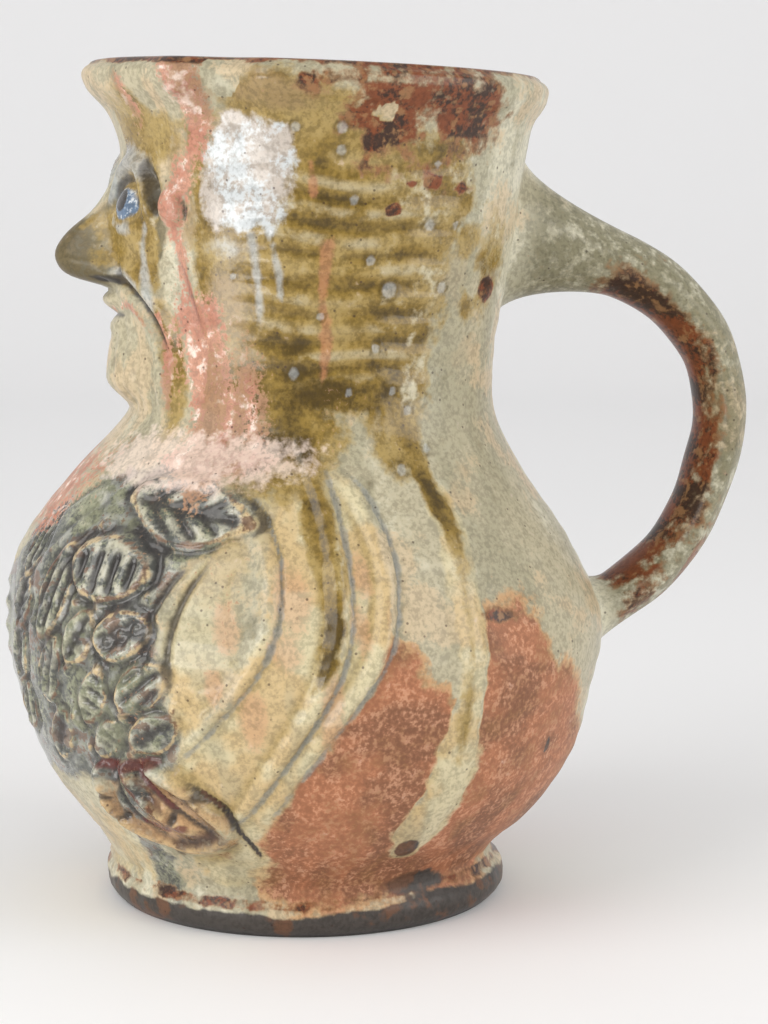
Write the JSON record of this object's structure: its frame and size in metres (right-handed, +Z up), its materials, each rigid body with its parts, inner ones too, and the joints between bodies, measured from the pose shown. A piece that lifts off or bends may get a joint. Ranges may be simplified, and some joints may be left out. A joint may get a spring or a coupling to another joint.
{
  "type": "owl pitcher",
  "caption": "Round-bellied stoneware pitcher in the form of an owl, with a hooked beak, carved wings, a pinched pouring lip and a strap handle.",
  "frame": {"origin": "middle of the flat underside, on the surface that the pitcher stands on", "axes": "+Z up, the face and pouring lip look along -Y, the handle stands out along +Y, +X is the side that shows in the picture"},
  "size_m": [0.1634, 0.2037, 0.2222],
  "materials": {
    "glazed_stoneware": "runny ash glaze, olive to pale grey-green and cream over salmon-brown slip, glossy on the neck and dry at the foot"
  },
  "bodies": {
    "root": {"pitcher": "glazed_stoneware"}
  },
  "joints": []
}
